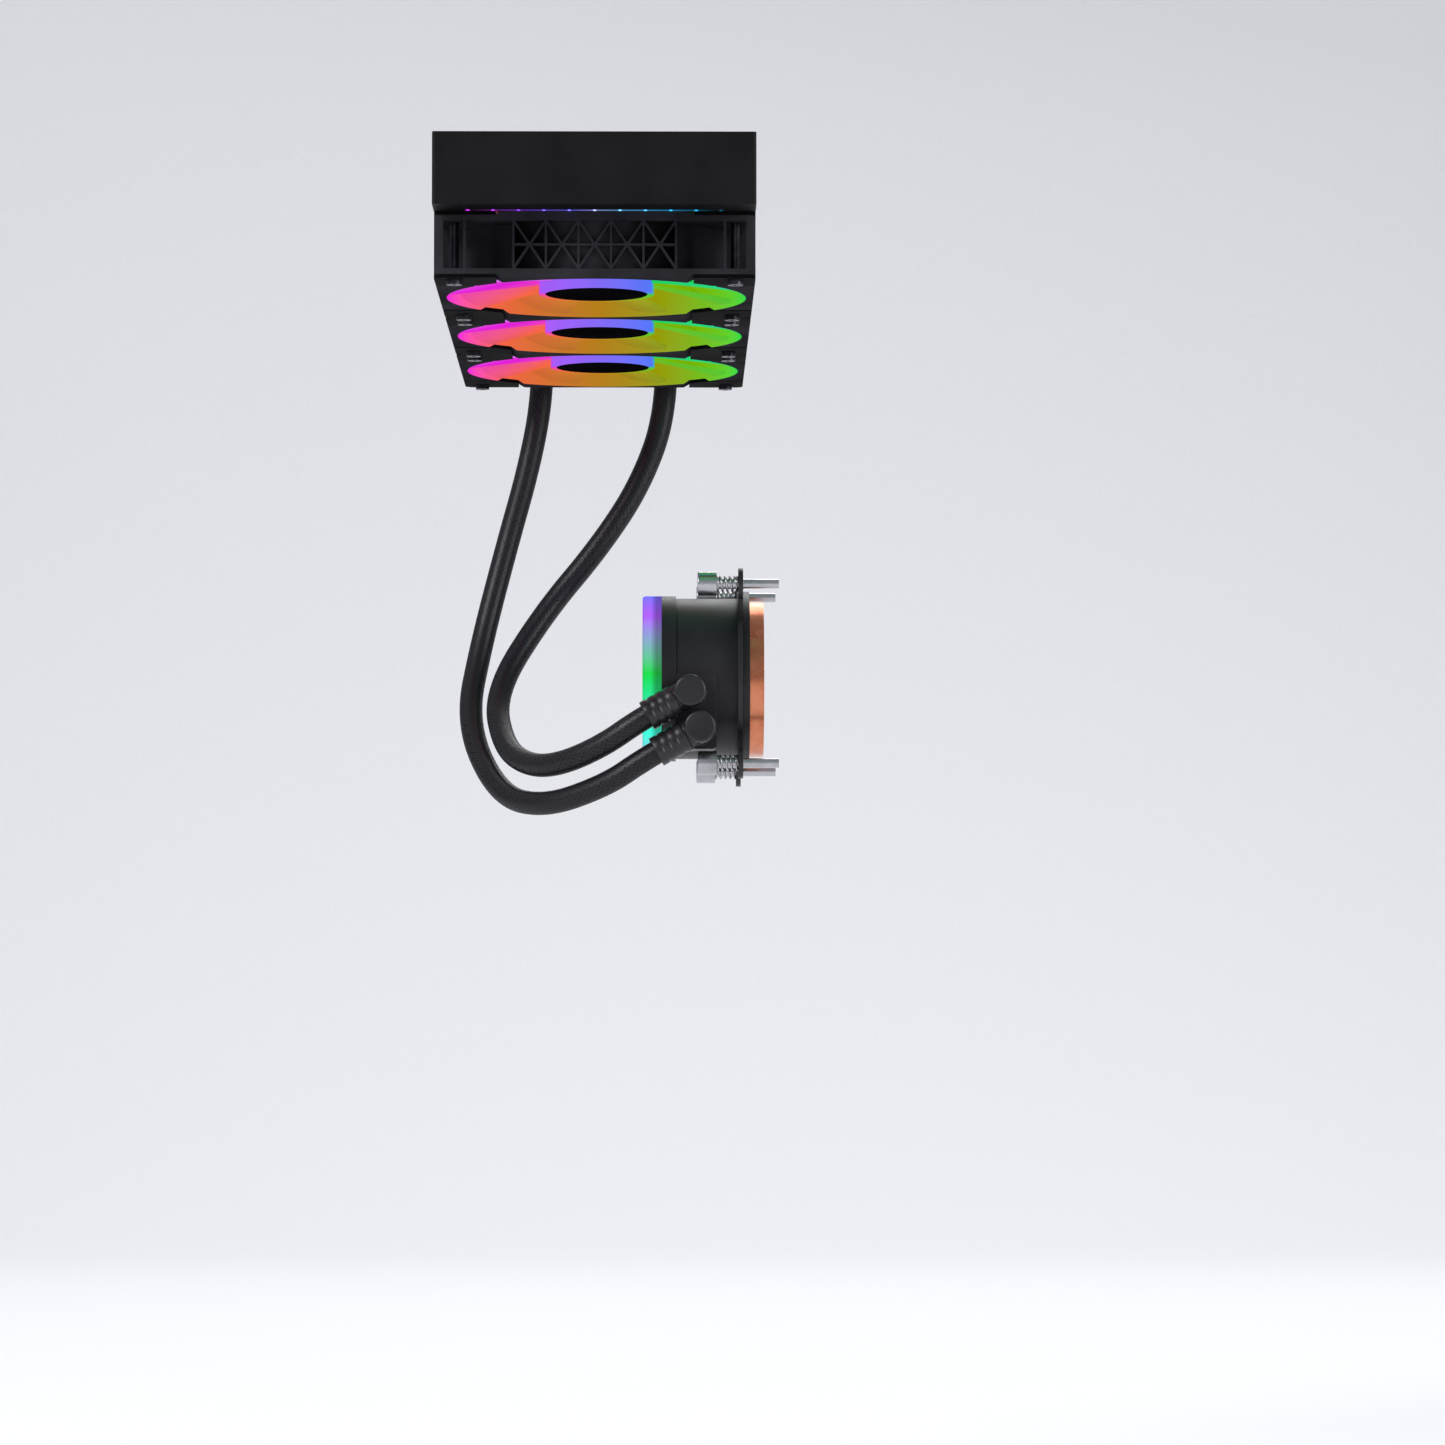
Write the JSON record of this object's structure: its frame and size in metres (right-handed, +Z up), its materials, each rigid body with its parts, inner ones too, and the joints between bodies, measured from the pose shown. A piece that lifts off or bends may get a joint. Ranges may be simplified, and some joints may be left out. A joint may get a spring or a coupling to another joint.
{
  "type": "liquid cooling radiator",
  "caption": "Sealed liquid cooler: long flat radiator with lit fans under it, two black braided hoses and a pump head with a lit ring and a copper cold plate",
  "frame": {"origin": "centre of the radiator's top mounting face, at the middle four-hole pattern", "axes": "+Z up out of the top mounting face, +Y along the radiator towards the tank with the hose fittings, +X towards the mainboard that the pump head presses on"},
  "size_m": [0.1361, 0.3985, 0.2409],
  "materials": {
    "radiator_paint": "satin black powder coat",
    "core_metal": "black coated aluminium",
    "fitting_metal": "satin black anodised metal",
    "fan_plastic": "fine textured black",
    "lit_blades": "milky translucent, lit from the hub",
    "gloss_cap": "glossy black",
    "magnet": "dark ferrite",
    "steel": "bright",
    "screw_black": "black zinc, worn bright at the drive",
    "bronze": "oiled sintered bronze",
    "windings": "enamelled copper wire",
    "board": "dark solder mask",
    "rubber": "matt black",
    "pump_plastic": "satin black",
    "pump_glow": "milky diffuser, lit from behind",
    "impeller_plastic": "natural white engineering plastic",
    "ceramic_shaft": "polished ceramic",
    "copper": "machined copper",
    "bracket_steel": "satin black steel",
    "hose_braid": "fine black braided sleeve"
  },
  "bodies": {
    "cooler": {"tank_front": "radiator_paint", "tank_rear": "radiator_paint", "header_front": "radiator_paint", "header_rear": "radiator_paint", "side_channel_left": "radiator_paint", "side_channel_right": "radiator_paint", "flat_tubes": "core_metal", "fin_packs": "core_metal", "fill_plug": "fitting_metal", "hose_fitting_left": "fitting_metal", "hose_fitting_right": "fitting_metal", "fan_1_frame": "fan_plastic", "fan_1_corner_pads": "rubber", "fan_1_bearing": "bronze", "fan_1_stator": "windings", "fan_1_circuit_board": "board", "fan_2_frame": "fan_plastic", "fan_2_corner_pads": "rubber", "fan_2_bearing": "bronze", "fan_2_stator": "windings", "fan_2_circuit_board": "board", "fan_3_frame": "fan_plastic", "fan_3_corner_pads": "rubber", "fan_3_bearing": "bronze", "fan_3_stator": "windings", "fan_3_circuit_board": "board", "fan_screws": "screw_black", "pump_light_ring": "pump_glow", "pump_cap": "gloss_cap", "pump_shell": "pump_plastic", "pump_housing": "pump_plastic", "pump_circuit_board": "board", "pump_stator": "windings", "pump_shaft": "ceramic_shaft", "pump_chamber_plate": "impeller_plastic", "pump_seal_ring": "rubber", "cold_plate": "copper", "cold_plate_screws": "steel", "mounting_bracket": "bracket_steel", "mounting_screws": "steel", "mounting_springs": "steel", "swivel_elbow_upper": "fitting_metal", "swivel_elbow_lower": "fitting_metal", "seal_washers": "rubber", "hose_collars": "fitting_metal", "hose_left": "hose_braid", "hose_right": "hose_braid"},
    "fan_1_spinner": {"fan_1_rotor": "lit_blades", "fan_1_hub_cap": "gloss_cap", "fan_1_magnet_ring": "magnet", "fan_1_shaft": "steel"},
    "fan_2_spinner": {"fan_2_rotor": "lit_blades", "fan_2_hub_cap": "gloss_cap", "fan_2_magnet_ring": "magnet", "fan_2_shaft": "steel"},
    "fan_3_spinner": {"fan_3_rotor": "lit_blades", "fan_3_hub_cap": "gloss_cap", "fan_3_magnet_ring": "magnet", "fan_3_shaft": "steel"},
    "pump_spinner": {"pump_impeller": "impeller_plastic"}
  },
  "joints": [
    {"name": "fan_1_spin", "type": "hinge", "parent": "cooler", "child": "fan_1_spinner", "pos_m": [0, -0.12, -0.045], "axis": [0, 0, 1], "continuous": true},
    {"name": "fan_2_spin", "type": "hinge", "parent": "cooler", "child": "fan_2_spinner", "pos_m": [0, 0, -0.045], "axis": [0, 0, 1], "continuous": true},
    {"name": "fan_3_spin", "type": "hinge", "parent": "cooler", "child": "fan_3_spinner", "pos_m": [0, 0.12, -0.045], "axis": [0, 0, 1], "continuous": true},
    {"name": "pump_spin", "type": "hinge", "parent": "cooler", "child": "pump_spinner", "pos_m": [0.045, 0.128, -0.182], "axis": [1, 0, 0], "continuous": true}
  ]
}
